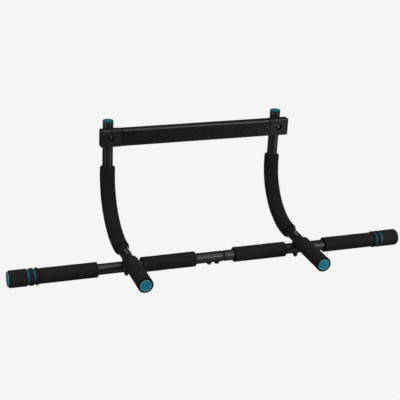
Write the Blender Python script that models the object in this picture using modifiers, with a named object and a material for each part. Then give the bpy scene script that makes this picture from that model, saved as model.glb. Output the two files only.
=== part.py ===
"""A doorway pull-up bar at real size: metres, +Z up.

The origin is the centre of the crossbar's underside, which rests on the head trim of a door.
+X runs along the main bar and +Y points through the doorway, away from the person who hangs on it.
A split main bar carries two bent arms. Each arm's front end is a forward handle, and its rear end is
an upright. The crossbar joins the uprights, and the door's wall fits between it and the main bar.
Nothing moves in use: every joint is bolted or pressed.
"""
import math

import bmesh
import bpy
from mathutils import Matrix, Vector

# Tube and clearance
TUBE_R = 0.0125
TUBE_WALL = 0.0015
BORE_R = TUBE_R - TUBE_WALL
GAP = 0.0003

# Main bar, with its axis along X
BAR_LENGTH = 0.952
BAR_Y = -0.158
BAR_Z = -0.231

# Plugs: a domed flange outside the tube and a hollow plug inside it
CAP_FLANGE = 0.0027
CAP_CROWN = 0.0012
PLUG_DEPTH = 0.020
PLUG_WALL = 0.002
PLUG_FLOOR = 0.003
BAR_FLANGE_R = 0.0170
HANDLE_FLANGE_R = 0.0134
TUBE_HALF = BAR_LENGTH / 2 - CAP_FLANGE

# Joint in the middle of the main bar: the right tube is swaged and plugs into the left one
SOCKET_END = 0.019
SHOULDER = 0.0244
NECK_R = 0.0113
NECK_SLOPE = 0.0008
SPIGOT_R = BORE_R - GAP
SPIGOT_BORE_R = SPIGOT_R - TUBE_WALL
SPIGOT_LENGTH = 0.060
JOINT_BOLT_X = (-0.0106, 0.0084)
JOINT_HOLE_DEPTH = 0.010
JOINT_NUT_HEIGHT = 0.005
BOLT_PAST_NUT = 0.001

# Foam and moulded ends, as distances from the middle of the main bar
GRIP_R = 0.0175
INNER_GRIPS = {"left": (0.0463, 0.1742), "right": (0.0483, 0.1782)}
OUTER_GRIPS = {"left": (0.2758, 0.4085), "right": (0.2778, 0.4085)}
BUMPER_R = 0.0195
BUMPER_EDGE = 0.0025
GROOVE_R = 0.0150
GROOVES = ((0.4152, 0.4197), (0.4286, 0.4339))
RING_R = 0.0174
RING_EDGE = 0.0006

# Arms, which cross over the main bar
ARM_X = 0.208
ARM_Z = BAR_Z + 2 * TUBE_R + GAP
HANDLE_REACH = 0.149
HANDLE_GRIP_R = 0.0175
HANDLE_GRIP_START = 0.031
HANDLE_GRIP_PAST = 0.0020
BEND_R = 0.132
BEND_STEPS = 10
UPRIGHT_Y = 0.020
UPRIGHT_TOP = 0.0556
SLEEVE_START = 0.0425
SLEEVE_TOP = BAR_Z + 0.173
SLEEVE_R = 0.0178
RECESS_R = 0.0078
RECESS_FLOOR = 0.0060
RECESS_DEPTH = 0.015
RECESS_FLARE = 0.0080
SADDLE_BORE_R = 0.0045
SADDLE_R = 0.0105
SADDLE_HALF = 0.0065

# Crossbar, standing on the XY plane
CROSS_HALF = 0.232
CROSS_DEPTH = 0.020
CROSS_HEIGHT = 0.041
CROSS_MIDDLE = CROSS_HEIGHT / 2
PAD_HALF = 0.183
PAD_EDGE_R = 0.004
END_EDGE = 0.0025
EDGE_STEPS = 3
BEAM_HALF = 0.220
BEAM_Y = 0.0015
BEAM_DEPTH = 0.008
BEAM_HEIGHT = 0.030
COUNTERBORE_R = 0.0076

# M6 fasteners
SHANK_R = 0.0030
HOLE_R = 0.0033
HEAD_R = 0.00525
HEAD_HEIGHT = 0.0033
HEAD_RIM = 0.0008
HEXAGON_R = 0.0023
HEXAGON_DEPTH = 0.0022
WASHER_R = 0.0070
WASHER_THICK = 0.0014
WASHER_BLANK = 0.008
NUT_CORNER_R = 0.00577
NUT_HEIGHT = 0.0045
NUT_DOME_R = 0.0046
NUT_DOME = 0.0042
NUT_DOME_ROOT = 0.001
NUT_HOLE_DEPTH = 0.0060
TIP_CLEAR = 0.0003
BOLT_SEAT = GAP + WASHER_THICK + GAP
SEAT_R = TUBE_R + BOLT_SEAT
RECESS_WASHER_R = 0.0068

# A cutter this long passes right through any tube or block
THROUGH = 0.060

SIDES = ((-1, "left"), (1, "right"))
SEGMENTS = 24
SMALL_SEGMENTS = 12
SEAT_SEGMENTS = 32
BEND_BEVEL = 8
DOME_STEPS = 4
MERGE = 0.00001
SMOOTH_ANGLE = math.radians(35)
QUARTER = math.radians(90)
X_AXIS = Vector((1, 0, 0))
Y_AXIS = Vector((0, 1, 0))
Z_AXIS = Vector((0, 0, 1))


def clear_scene():
    for old in list(bpy.data.objects):
        bpy.data.objects.remove(old, do_unlink=True)


def new_collection(name):
    group = bpy.data.collections.new(name)
    bpy.context.scene.collection.children.link(group)
    return group


def new_material(name, colour, roughness, metallic=0.0):
    material = bpy.data.materials.new(name)
    material.use_nodes = True
    shader = material.node_tree.nodes["Principled BSDF"]
    shader.inputs["Base Color"].default_value = (*colour, 1.0)
    shader.inputs["Roughness"].default_value = roughness
    shader.inputs["Metallic"].default_value = metallic
    return material


def facing(direction, point):
    """A placement whose local Z runs along direction and whose origin is point."""
    turn = Z_AXIS.rotation_difference(Vector(direction))
    return Matrix.Translation(point) @ turn.to_matrix().to_4x4()


def add_part(name, mesh, place, material):
    part = bpy.data.objects.new(name, mesh)
    mesh.materials.append(material)
    parts.objects.link(part)
    part.parent = root
    part.matrix_world = place
    return part


def add_cutter(name, mesh, place):
    cutter = bpy.data.objects.new(name, mesh)
    cutters.objects.link(cutter)
    cutter.parent = root
    cutter.matrix_world = place
    cutter.hide_render = True
    cutter.display_type = 'WIRE'
    return cutter


def rod_mesh(name, radius, length, sides=SMALL_SEGMENTS, flare=0.0):
    """A capped prism or cylinder centred on its own origin, along local Z, wider at its top by the flare."""
    mesh = bpy.data.meshes.new(name)
    bm = bmesh.new()
    bmesh.ops.create_cone(bm, cap_ends=True, segments=sides, radius1=radius, radius2=radius + flare,
                          depth=length)
    bm.to_mesh(mesh)
    bm.free()
    return mesh


def box_mesh(name, size):
    mesh = bpy.data.meshes.new(name)
    bm = bmesh.new()
    bmesh.ops.create_cube(bm, size=1.0, matrix=Matrix.Diagonal((*size, 1.0)))
    bm.to_mesh(mesh)
    bm.free()
    return mesh


def turned(name, outline, place, material, ring=False, steps=SEGMENTS):
    """Spin (radius, height) points about local Z; they run down the outer side."""
    count = len(outline)
    edges = [(i, i + 1) for i in range(count - 1)]
    if ring:
        edges.append((count - 1, 0))
    mesh = bpy.data.meshes.new(name)
    mesh.from_pydata([(radius, 0.0, height) for radius, height in outline], edges, [])
    part = add_part(name, mesh, place, material)
    screw = part.modifiers.new("Turn", 'SCREW')
    screw.angle = math.tau
    screw.steps = steps
    screw.render_steps = steps
    screw.use_merge_vertices = True
    screw.merge_threshold = MERGE
    return part


def combine(part, other, operation):
    modifier = part.modifiers.new(other.name, 'BOOLEAN')
    modifier.operation = operation
    modifier.solver = 'EXACT'
    modifier.object = other


def cut(part, cutter):
    combine(part, cutter, 'DIFFERENCE')


def curve_part(name, curve, place, material):
    """Turn a curve into a mesh part with its caps welded."""
    drawn = bpy.data.objects.new(name + "_curve", curve)
    parts.objects.link(drawn)
    drawn.matrix_world = place
    graph = bpy.context.evaluated_depsgraph_get()
    mesh = bpy.data.meshes.new_from_object(drawn.evaluated_get(graph))
    mesh.name = name
    mesh.materials.clear()
    place = drawn.matrix_world.copy()
    bpy.data.objects.remove(drawn)
    bm = bmesh.new()
    bm.from_mesh(mesh)
    bmesh.ops.remove_doubles(bm, verts=bm.verts, dist=MERGE)
    bm.to_mesh(mesh)
    bm.free()
    return add_part(name, mesh, place, material)


def arm_route(side, start_y, top_z):
    """The arm's axis from start_y along the handle, round the bend and up to top_z."""
    centre_y = UPRIGHT_Y - BEND_R
    centre_z = ARM_Z + BEND_R
    route = [Vector((side * ARM_X, start_y, ARM_Z))]
    for step in range(BEND_STEPS + 1):
        angle = QUARTER * step / BEND_STEPS
        y = centre_y + BEND_R * math.sin(angle)
        z = centre_z - BEND_R * math.cos(angle)
        route.append(Vector((side * ARM_X, y, z)))
    route.append(Vector((side * ARM_X, UPRIGHT_Y, top_z)))
    return route


def bent_tube(name, route, radius, wall, material):
    """A hollow tube along a route, open at both ends."""
    curve = bpy.data.curves.new(name, 'CURVE')
    curve.dimensions = '3D'
    curve.bevel_depth = radius
    curve.bevel_resolution = BEND_BEVEL
    spline = curve.splines.new('POLY')
    spline.points.add(len(route) - 1)
    for point, place in zip(spline.points, route):
        point.co = (*place, 1.0)
    tube = curve_part(name, curve, Matrix.Identity(4), material)
    solid = tube.modifiers.new("Wall", 'SOLIDIFY')
    solid.thickness = wall
    solid.offset = -1.0
    return tube


def rounded_bar(name, length, material):
    """The crossbar's section with rounded long edges, extruded along X."""
    half_depth = CROSS_DEPTH / 2 - PAD_EDGE_R
    half_height = CROSS_MIDDLE - PAD_EDGE_R
    corners = ((half_depth, half_height), (-half_depth, half_height),
               (-half_depth, -half_height), (half_depth, -half_height))
    outline = []
    for quarter, (y, z) in enumerate(corners):
        for step in range(EDGE_STEPS + 1):
            angle = QUARTER * (quarter + step / EDGE_STEPS)
            outline.append((y + PAD_EDGE_R * math.cos(angle), z + PAD_EDGE_R * math.sin(angle)))
    curve = bpy.data.curves.new(name, 'CURVE')
    curve.dimensions = '2D'
    curve.fill_mode = 'BOTH'
    curve.extrude = length / 2
    spline = curve.splines.new('POLY')
    spline.points.add(len(outline) - 1)
    for point, (y, z) in zip(spline.points, outline):
        point.co = (y, z, 0.0, 1.0)
    spline.use_cyclic_u = True
    columns = Matrix(((0, 0, 1, 0), (1, 0, 0, 0), (0, 1, 0, CROSS_MIDDLE), (0, 0, 0, 1)))
    return curve_part(name, curve, columns, material)


def settle(part):
    """Make the modifiers' result the part's own mesh, smooth where it is round."""
    graph = bpy.context.evaluated_depsgraph_get()
    mesh = bpy.data.meshes.new_from_object(part.evaluated_get(graph))
    part.modifiers.clear()
    part.data = mesh
    mesh.shade_smooth()
    mesh.set_sharp_from_angle(angle=SMOOTH_ANGLE)


def ring_outline(inner, outer, low, high):
    return [(outer, high), (outer, low), (inner, low), (inner, high)]


def quarter_round(radius, base, rise, steps):
    """Points of a dome, from beside its top down to above its rim."""
    points = []
    for step in range(1, steps):
        angle = QUARTER * step / steps
        points.append((radius * math.sin(angle), base + rise * math.cos(angle)))
    return points


def plug_cap(name, flange_r, place, material):
    """A domed cap: its plug runs down from local Z = 0, and its flange stands above that."""
    plug_r = BORE_R - GAP
    rim = CAP_FLANGE - CAP_CROWN
    outline = [(0.0, CAP_FLANGE)]
    outline += quarter_round(flange_r, rim, CAP_CROWN, EDGE_STEPS)
    outline += [(flange_r, rim), (flange_r, GAP), (plug_r, GAP), (plug_r, -PLUG_DEPTH),
                (plug_r - PLUG_WALL, -PLUG_DEPTH), (plug_r - PLUG_WALL, -PLUG_FLOOR), (0.0, -PLUG_FLOOR)]
    return turned(name, outline, place, material)


def make_main_tubes():
    left = turned("main_tube_left", ring_outline(BORE_R, TUBE_R, -SOCKET_END, TUBE_HALF),
                  facing(-X_AXIS, (0, BAR_Y, BAR_Z)), steel, ring=True)
    spigot_end = SOCKET_END - SPIGOT_LENGTH
    outline = [(TUBE_R, TUBE_HALF), (TUBE_R, SHOULDER), (NECK_R, SHOULDER - NECK_SLOPE),
               (NECK_R, SOCKET_END + NECK_SLOPE), (SPIGOT_R, SOCKET_END + GAP), (SPIGOT_R, spigot_end),
               (SPIGOT_BORE_R, spigot_end), (SPIGOT_BORE_R, SOCKET_END + GAP),
               (BORE_R, SHOULDER + TUBE_WALL), (BORE_R, TUBE_HALF)]
    right = turned("main_tube_right", outline, facing(X_AXIS, (0, BAR_Y, BAR_Z)), steel, ring=True)
    for tube, (side, word) in zip((left, right), SIDES):
        place = facing(Z_AXIS, (side * ARM_X, BAR_Y, BAR_Z))
        cut(tube, add_cutter("bar_hole_" + word, rod_mesh("bar_hole", HOLE_R, THROUGH), place))
    for number, x in enumerate(JOINT_BOLT_X):
        place = facing(Z_AXIS, (x, BAR_Y, BAR_Z - TUBE_R))
        hole = add_cutter(f"joint_hole_{number}", rod_mesh("joint_hole", HOLE_R, JOINT_HOLE_DEPTH), place)
        cut(left, hole)
        cut(right, hole)


def make_bar_ends():
    for side, word in SIDES:
        place = facing(side * X_AXIS, (0, BAR_Y, BAR_Z))
        bore = TUBE_R + GAP
        for kind, grips in (("inner", INNER_GRIPS), ("outer", OUTER_GRIPS)):
            outline = ring_outline(bore, GRIP_R, *grips[word])
            turned(f"{kind}_grip_{word}", outline, place, foam, ring=True)
        outline = [(BUMPER_R - BUMPER_EDGE, TUBE_HALF), (BUMPER_R, TUBE_HALF - BUMPER_EDGE)]
        for low, high in reversed(GROOVES):
            outline += [(BUMPER_R, high), (GROOVE_R, high), (GROOVE_R, low), (BUMPER_R, low)]
        start = OUTER_GRIPS[word][1] + GAP
        outline += [(BUMPER_R, start), (bore, start), (bore, TUBE_HALF)]
        turned("end_bumper_" + word, outline, place, foam, ring=True)
        for (low, high), rank in zip(GROOVES, ("inner", "outer")):
            low += GAP
            high -= GAP
            outline = [(RING_R - RING_EDGE, high), (RING_R, high - RING_EDGE), (RING_R, low + RING_EDGE),
                       (RING_R - RING_EDGE, low), (GROOVE_R + GAP, low), (GROOVE_R + GAP, high)]
            turned(f"accent_ring_{rank}_{word}", outline, place, teal, ring=True)
        tube_end = facing(side * X_AXIS, (side * TUBE_HALF, BAR_Y, BAR_Z))
        plug_cap("bar_end_cap_" + word, BAR_FLANGE_R, tube_end, teal)


def make_arms():
    front = BAR_Y - HANDLE_REACH + CAP_FLANGE
    top = UPRIGHT_TOP - CAP_FLANGE
    for side, word in SIDES:
        x = side * ARM_X
        tube = bent_tube("arm_tube_" + word, arm_route(side, front, top), TUBE_R, TUBE_WALL, steel)
        down = add_cutter("arm_hole_" + word, rod_mesh("arm_hole", HOLE_R, THROUGH),
                          facing(Z_AXIS, (x, BAR_Y, ARM_Z)))
        across = add_cutter("upright_hole_" + word, rod_mesh("upright_hole", HOLE_R, THROUGH),
                            facing(Y_AXIS, (x, UPRIGHT_Y, CROSS_MIDDLE)))
        sink_bolt(tube, x)
        cut(tube, down)
        cut(tube, across)
        sleeve_wall = SLEEVE_R - TUBE_R - GAP
        bent_tube("arm_sleeve_" + word, arm_route(side, BAR_Y + SLEEVE_START, SLEEVE_TOP),
                  SLEEVE_R, sleeve_wall, foam)
        bore = TUBE_R + GAP
        reach = BAR_Y - front
        step_r = HANDLE_FLANGE_R + GAP
        handle = [(HANDLE_GRIP_R, reach + HANDLE_GRIP_PAST), (HANDLE_GRIP_R, HANDLE_GRIP_START),
                  (bore, HANDLE_GRIP_START), (bore, reach), (step_r, reach),
                  (step_r, reach + HANDLE_GRIP_PAST)]
        turned("handle_grip_" + word, handle, facing(-Y_AXIS, (x, BAR_Y, ARM_Z)), foam, ring=True)
        plug_cap("handle_cap_" + word, HANDLE_FLANGE_R, facing(-Y_AXIS, (x, front, ARM_Z)), teal)
        plug_cap("arm_top_cap_" + word, TUBE_R, facing(Z_AXIS, (x, UPRIGHT_Y, top)), teal)


def sink_bolt(tube, x):
    """Press a round dish into the arm's upper wall, down to a flat floor for the bolt head."""
    axis = (x, BAR_Y, ARM_Z)
    above_floor = Vector(axis) + Z_AXIS * (RECESS_FLOOR + RECESS_DEPTH / 2)
    pressed = rod_mesh("pressed_wall", RECESS_R + TUBE_WALL, RECESS_DEPTH, SEGMENTS, RECESS_FLARE)
    wall = add_cutter(tube.name + "_pressed", pressed, facing(Z_AXIS, above_floor - Z_AXIS * TUBE_WALL))
    side = rod_mesh("tube_side", TUBE_R, THROUGH, SEAT_SEGMENTS)
    combine(wall, add_cutter(tube.name + "_side", side, facing(Y_AXIS, axis)), 'INTERSECT')
    combine(tube, wall, 'UNION')
    recess = rod_mesh("recess", RECESS_R, RECESS_DEPTH, SEGMENTS, RECESS_FLARE)
    cut(tube, add_cutter(tube.name + "_recess", recess, facing(Z_AXIS, above_floor)))


def make_saddle(name, x):
    """A spacer between the crossing tubes, hollowed to both of them."""
    middle = (BAR_Z + ARM_Z) / 2
    saddle = turned(name, ring_outline(SADDLE_BORE_R, SADDLE_R, -SADDLE_HALF, SADDLE_HALF),
                    facing(Z_AXIS, (x, BAR_Y, middle)), plastic, ring=True)
    hollow = rod_mesh("saddle_hollow", TUBE_R + GAP, THROUGH, SEAT_SEGMENTS)
    cut(saddle, add_cutter(name + "_low", hollow, facing(X_AXIS, (x, BAR_Y, BAR_Z))))
    cut(saddle, add_cutter(name + "_high", hollow, facing(Y_AXIS, (x, BAR_Y, ARM_Z))))


def curved_washer(name, centre, along, outward):
    """A washer that hugs a tube: centre is on the tube's axis, and outward points at the washer."""
    middle = facing(outward, Vector(centre) + outward * (TUBE_R + GAP))
    axis = facing(along, centre)
    washer = add_part(name, rod_mesh(name, WASHER_R, WASHER_BLANK), middle, zinc)
    outer_face = rod_mesh("washer_outer", TUBE_R + GAP + WASHER_THICK, THROUGH, SEAT_SEGMENTS)
    inner_face = rod_mesh("washer_inner", TUBE_R + GAP, THROUGH, SEAT_SEGMENTS)
    combine(washer, add_cutter(name + "_outer", outer_face, axis), 'INTERSECT')
    cut(washer, add_cutter(name + "_inner", inner_face, axis))
    cut(washer, add_cutter(name + "_hole", rod_mesh("washer_hole", HOLE_R, THROUGH), middle))


def button_bolt(name, length, place):
    """A domed head above local Z = 0 with a hexagon socket, and a shank below it."""
    outline = [(0.0, HEAD_HEIGHT)]
    outline += quarter_round(HEAD_R, HEAD_RIM, HEAD_HEIGHT - HEAD_RIM, DOME_STEPS)
    outline += [(HEAD_R, HEAD_RIM), (HEAD_R, 0.0), (SHANK_R, 0.0), (SHANK_R, -length), (0.0, -length)]
    bolt = turned(name, outline, place, zinc, steps=SMALL_SEGMENTS)
    socket = rod_mesh("socket", HEXAGON_R, 2 * HEXAGON_DEPTH, 6)
    cut(bolt, add_cutter(name + "_socket", socket, place @ Matrix.Translation((0, 0, HEAD_HEIGHT))))


def dome_nut(name, place):
    """A hexagon nut below local Z = 0, closed by a dome at its far end."""
    nut = add_part(name, rod_mesh(name, NUT_CORNER_R, NUT_HEIGHT, 6),
                   place @ Matrix.Translation((0, 0, -NUT_HEIGHT / 2)), zinc)
    tip = -NUT_HEIGHT - NUT_DOME
    outline = [(0.0, -NUT_DOME_ROOT), (NUT_DOME_R, -NUT_DOME_ROOT), (NUT_DOME_R, -NUT_HEIGHT)]
    outline += reversed(quarter_round(NUT_DOME_R, -NUT_HEIGHT, -NUT_DOME, DOME_STEPS))
    outline.append((0.0, tip))
    dome = turned(name + "_dome", outline, place, zinc, steps=SMALL_SEGMENTS)
    cutters.objects.link(dome)
    parts.objects.unlink(dome)
    dome.hide_render = True
    dome.display_type = 'WIRE'
    combine(nut, dome, 'UNION')
    hole = rod_mesh("nut_hole", HOLE_R, NUT_HOLE_DEPTH * 2)
    cut(nut, add_cutter(name + "_hole", hole, place))


def make_joint_fasteners():
    """Bolts from below, each screwed into a weld nut that lies on the floor of the spigot's bore."""
    nut_low = GAP - math.sqrt(SPIGOT_BORE_R ** 2 - NUT_CORNER_R ** 2)
    length = SEAT_R + nut_low + JOINT_NUT_HEIGHT + BOLT_PAST_NUT
    for x, word in zip(JOINT_BOLT_X, ("left", "right")):
        centre = Vector((x, BAR_Y, BAR_Z))
        curved_washer("joint_washer_" + word, centre, X_AXIS, -Z_AXIS)
        button_bolt("joint_bolt_" + word, length, facing(-Z_AXIS, centre - Z_AXIS * SEAT_R))
        place = facing(Z_AXIS, centre + Z_AXIS * (nut_low + JOINT_NUT_HEIGHT / 2))
        nut = add_part("joint_nut_" + word, rod_mesh("joint_nut", NUT_CORNER_R, JOINT_NUT_HEIGHT, 6),
                       place, zinc)
        cut(nut, add_cutter("joint_nut_hole_" + word, rod_mesh("joint_nut_hole", HOLE_R, THROUGH), place))


def make_arm_fasteners():
    length = ARM_Z + RECESS_FLOOR + BOLT_SEAT - BAR_Z + SEAT_R + NUT_HOLE_DEPTH - TIP_CLEAR
    for side, word in SIDES:
        x = side * ARM_X
        low = Vector((x, BAR_Y, BAR_Z))
        high = Vector((x, BAR_Y, ARM_Z))
        make_saddle("arm_saddle_" + word, x)
        flat = ring_outline(HOLE_R, RECESS_WASHER_R, GAP, GAP + WASHER_THICK)
        seat = high + Z_AXIS * RECESS_FLOOR
        turned("arm_bolt_washer_" + word, flat, facing(Z_AXIS, seat), zinc, ring=True)
        curved_washer("arm_nut_washer_" + word, low, X_AXIS, -Z_AXIS)
        button_bolt("arm_bolt_" + word, length, facing(Z_AXIS, seat + Z_AXIS * BOLT_SEAT))
        dome_nut("arm_nut_" + word, facing(Z_AXIS, low - Z_AXIS * SEAT_R))


def make_beam():
    """The flat steel tube inside the crossbar, and the cutter for its room in the mouldings."""
    middle = Matrix.Translation((0, BEAM_Y, CROSS_MIDDLE))
    beam = add_part("crossbar_beam", box_mesh("crossbar_beam", (2 * BEAM_HALF, BEAM_DEPTH, BEAM_HEIGHT)),
                    middle, steel)
    bore = (2 * BEAM_HALF + THROUGH, BEAM_DEPTH - 2 * TUBE_WALL, BEAM_HEIGHT - 2 * TUBE_WALL)
    cut(beam, add_cutter("beam_bore", box_mesh("beam_bore", bore), middle))
    room = (2 * BEAM_HALF + 2 * GAP, BEAM_DEPTH + 2 * GAP, BEAM_HEIGHT + 2 * GAP)
    return beam, add_cutter("beam_room", box_mesh("beam_room", room), middle)


def make_crossbar():
    beam, beam_room = make_beam()
    cut(rounded_bar("crossbar_pad", 2 * PAD_HALF, rubber), beam_room)
    inner = PAD_HALF + GAP
    beam_front = BEAM_Y - BEAM_DEPTH / 2
    bolt_seat_y = beam_front - GAP
    nut_seat_y = UPRIGHT_Y + SEAT_R
    bolt_length = nut_seat_y + NUT_HOLE_DEPTH - TIP_CLEAR - bolt_seat_y
    for side, word in SIDES:
        x = side * ARM_X
        place = Matrix.Translation((side * (CROSS_HALF + inner) / 2, 0, CROSS_MIDDLE))
        block = add_part("crossbar_end_" + word,
                         box_mesh("crossbar_end", (CROSS_HALF - inner, CROSS_DEPTH, CROSS_HEIGHT)),
                         place, plastic)
        edge = block.modifiers.new("Edges", 'BEVEL')
        edge.width = END_EDGE
        edge.segments = EDGE_STEPS
        cut(block, beam_room)
        upright = Vector((x, UPRIGHT_Y, CROSS_MIDDLE))
        cradle = rod_mesh("cradle", TUBE_R + GAP, THROUGH, SEAT_SEGMENTS)
        cut(block, add_cutter("cradle_" + word, cradle, facing(Z_AXIS, upright)))
        recess = rod_mesh("counterbore", COUNTERBORE_R, CROSS_DEPTH, SEGMENTS)
        recess_middle = (x, beam_front - CROSS_DEPTH / 2, CROSS_MIDDLE)
        cut(block, add_cutter("counterbore_" + word, recess, facing(Y_AXIS, recess_middle)))
        hole = add_cutter("cross_hole_" + word, rod_mesh("cross_hole", HOLE_R, THROUGH),
                          facing(Y_AXIS, (x, 0, CROSS_MIDDLE)))
        cut(beam, hole)
        cut(block, hole)
        curved_washer("crossbar_washer_" + word, upright, Z_AXIS, Y_AXIS)
        button_bolt("crossbar_bolt_" + word, bolt_length, facing(-Y_AXIS, (x, bolt_seat_y, CROSS_MIDDLE)))
        dome_nut("crossbar_nut_" + word, facing(-Y_AXIS, (x, nut_seat_y, CROSS_MIDDLE)))


clear_scene()
parts = new_collection("pull_up_bar")
cutters = new_collection("cutters")
root = bpy.data.objects.new("pull_up_bar_frame", None)
parts.objects.link(root)

steel = new_material("black_painted_steel", (0.030, 0.030, 0.032), 0.35, 0.4)
foam = new_material("black_foam", (0.014, 0.014, 0.015), 0.85)
rubber = new_material("black_pad", (0.016, 0.016, 0.017), 0.6)
plastic = new_material("dark_plastic", (0.022, 0.023, 0.027), 0.5)
teal = new_material("teal_plastic", (0.010, 0.115, 0.155), 0.45)
zinc = new_material("black_zinc", (0.060, 0.060, 0.065), 0.35, 0.9)

make_main_tubes()
make_bar_ends()
make_arms()
make_joint_fasteners()
make_arm_fasteners()
make_crossbar()
for piece in list(parts.objects):
    if piece.type == 'MESH':
        settle(piece)
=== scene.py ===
"""The looks of a doorway pull-up bar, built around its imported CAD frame: metres, +Z up.

Every visible piece is a fine mesh in the place of its CAD node. Round pieces are turned from an outline of
(distance, radius) corners, and a placing function carries the turned solid to its straight or bent axis.
"""
import math

import bmesh
import bpy
import numpy as np
from mathutils import Matrix, Vector, noise


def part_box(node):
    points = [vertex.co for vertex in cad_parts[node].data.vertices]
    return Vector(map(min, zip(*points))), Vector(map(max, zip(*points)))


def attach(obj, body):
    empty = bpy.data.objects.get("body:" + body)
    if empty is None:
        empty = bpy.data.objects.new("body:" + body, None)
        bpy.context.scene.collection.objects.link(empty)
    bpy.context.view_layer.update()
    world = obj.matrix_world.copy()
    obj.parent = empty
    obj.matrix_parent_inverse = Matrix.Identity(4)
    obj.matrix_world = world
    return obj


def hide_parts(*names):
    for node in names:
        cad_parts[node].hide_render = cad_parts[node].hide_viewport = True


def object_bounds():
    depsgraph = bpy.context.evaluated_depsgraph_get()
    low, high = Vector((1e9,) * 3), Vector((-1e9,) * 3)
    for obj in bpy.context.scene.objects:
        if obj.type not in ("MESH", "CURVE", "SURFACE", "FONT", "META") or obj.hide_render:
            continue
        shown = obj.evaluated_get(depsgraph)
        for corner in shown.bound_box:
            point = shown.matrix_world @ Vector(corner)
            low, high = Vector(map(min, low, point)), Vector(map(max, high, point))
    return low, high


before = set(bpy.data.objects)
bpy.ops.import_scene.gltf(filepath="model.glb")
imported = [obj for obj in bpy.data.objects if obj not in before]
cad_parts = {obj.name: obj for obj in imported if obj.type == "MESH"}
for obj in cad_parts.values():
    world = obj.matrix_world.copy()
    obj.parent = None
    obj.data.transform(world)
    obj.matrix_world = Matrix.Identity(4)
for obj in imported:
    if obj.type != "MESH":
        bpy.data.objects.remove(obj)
CAD_LOW, CAD_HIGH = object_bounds()

MM = 0.001
QUARTER = math.radians(90)
X_AXIS = Vector((1, 0, 0))
Y_AXIS = Vector((0, 1, 0))
Z_AXIS = Vector((0, 0, 1))
SIDES = ((-1, "left"), (1, "right"))


def box(node):
    low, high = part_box(node)
    return low, high, (low + high) / 2


def bar_extent(node):
    """The two distances and the outer radius of a piece on the main bar."""
    low, high, _ = box(node)
    near, far = sorted((abs(low.x), abs(high.x)))
    return near, far, (high.z - low.z) / 2


# Sizes read from the frame
TUBE_LOW, TUBE_HIGH, TUBE_MIDDLE = box("main_tube_left")
BAR_Y = TUBE_MIDDLE.y
BAR_Z = TUBE_MIDDLE.z
TUBE_R = (TUBE_HIGH.z - TUBE_LOW.z) / 2
SOCKET_END = TUBE_HIGH.x
TUBE_END = -TUBE_LOW.x
SPIGOT_END = box("main_tube_right")[0].x
CAP_LOW, CAP_HIGH, CAP_MIDDLE = box("handle_cap_right")
CAP_R = (CAP_HIGH.z - CAP_LOW.z) / 2
ARM_X = CAP_MIDDLE.x
ARM_Z = CAP_MIDDLE.z
UPRIGHT_Y = box("arm_top_cap_right")[2].y
CROSS_LOW, CROSS_HIGH, CROSS_MIDDLE = box("crossbar_pad")

# Sizes that the boxes don't give, as the CAD has them, to 0.01 mm
GAP = 0.3 * MM
TUBE_WALL = 1.5 * MM
BORE_R = TUBE_R - TUBE_WALL
SLIP_R = TUBE_R + GAP
SHOULDER = 24.4 * MM
NECK_R = 11.3 * MM
SPIGOT_R = BORE_R - GAP
BEND_R = 132 * MM
HOLE_R = 3.3 * MM
SHANK_R = 3.0 * MM
WASHER_R = 7.0 * MM
WASHER_THICK = 1.4 * MM
BOLT_SEAT = GAP + WASHER_THICK + GAP
SEAT_R = TUBE_R + BOLT_SEAT
RECESS_FLOOR = box("arm_bolt_washer_right")[0].z - GAP - ARM_Z
RECESS_WASHER_R = 6.8 * MM
RECESS_R = 7.8 * MM
RECESS_SLOPE = 0.533
NUT_APOTHEM = 5.0 * MM
BOLT_HEAD = 3.3 * MM

# The middle of the bend, seen along X
BEND_Y = UPRIGHT_Y - BEND_R
BEND_Z = ARM_Z + BEND_R
BEND_START = BEND_Y - BAR_Y
BEND_LENGTH = BEND_R * QUARTER
UPRIGHT_START = BEND_START + BEND_LENGTH

# Cutters, and how far from a hole's middle the long faces round it are divided
THROUGH = 60 * MM
JOINT_HOLE = 10 * MM
HOLE_MARK = 6 * MM
DISH_MARK = 15 * MM

# The backdrop's paleness to the camera, and how much the world lights the bar
PALE = 0.915
WORLD_LIGHT = 0.05

# Softboxes: name, azimuth, elevation, distance, width, height, radiance
SOFTBOXES = (
    ("front", 29, 19, 2.6, 1.2, 1.1, 5.4),
    ("front_low", 24, -42, 2.6, 1.4, 1.0, 0.8),
    ("left", -72, 10, 2.6, 0.9, 1.6, 4.2),
    ("right_low", 50, -18, 2.6, 0.8, 0.9, 2.4),
    ("upper", 38, 60, 2.6, 1.1, 0.8, 2.8),
    ("top", -25, 68, 2.4, 1.8, 1.0, 2.8),
    ("back", 180, 62, 2.6, 1.4, 0.9, 1.5),
    ("back_low", 161, -22, 2.6, 1.8, 1.0, 3.4),
    ("back_right", 118, 12, 2.6, 0.9, 1.2, 1.0),
)

# Mesh fineness
ARC_STEPS = 6
ROUND = 72
SMALL_ROUND = 48


# ---------------------------------------------------------------- outlines

def turn_towards(first, second, share):
    """The 2D vector between two others of one length, by angle."""
    start = math.atan2(first.y, first.x)
    sweep = (math.atan2(second.y, second.x) - start + math.pi) % math.tau - math.pi
    angle = start + sweep * share
    return Vector((math.cos(angle), math.sin(angle))) * first.length


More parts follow.
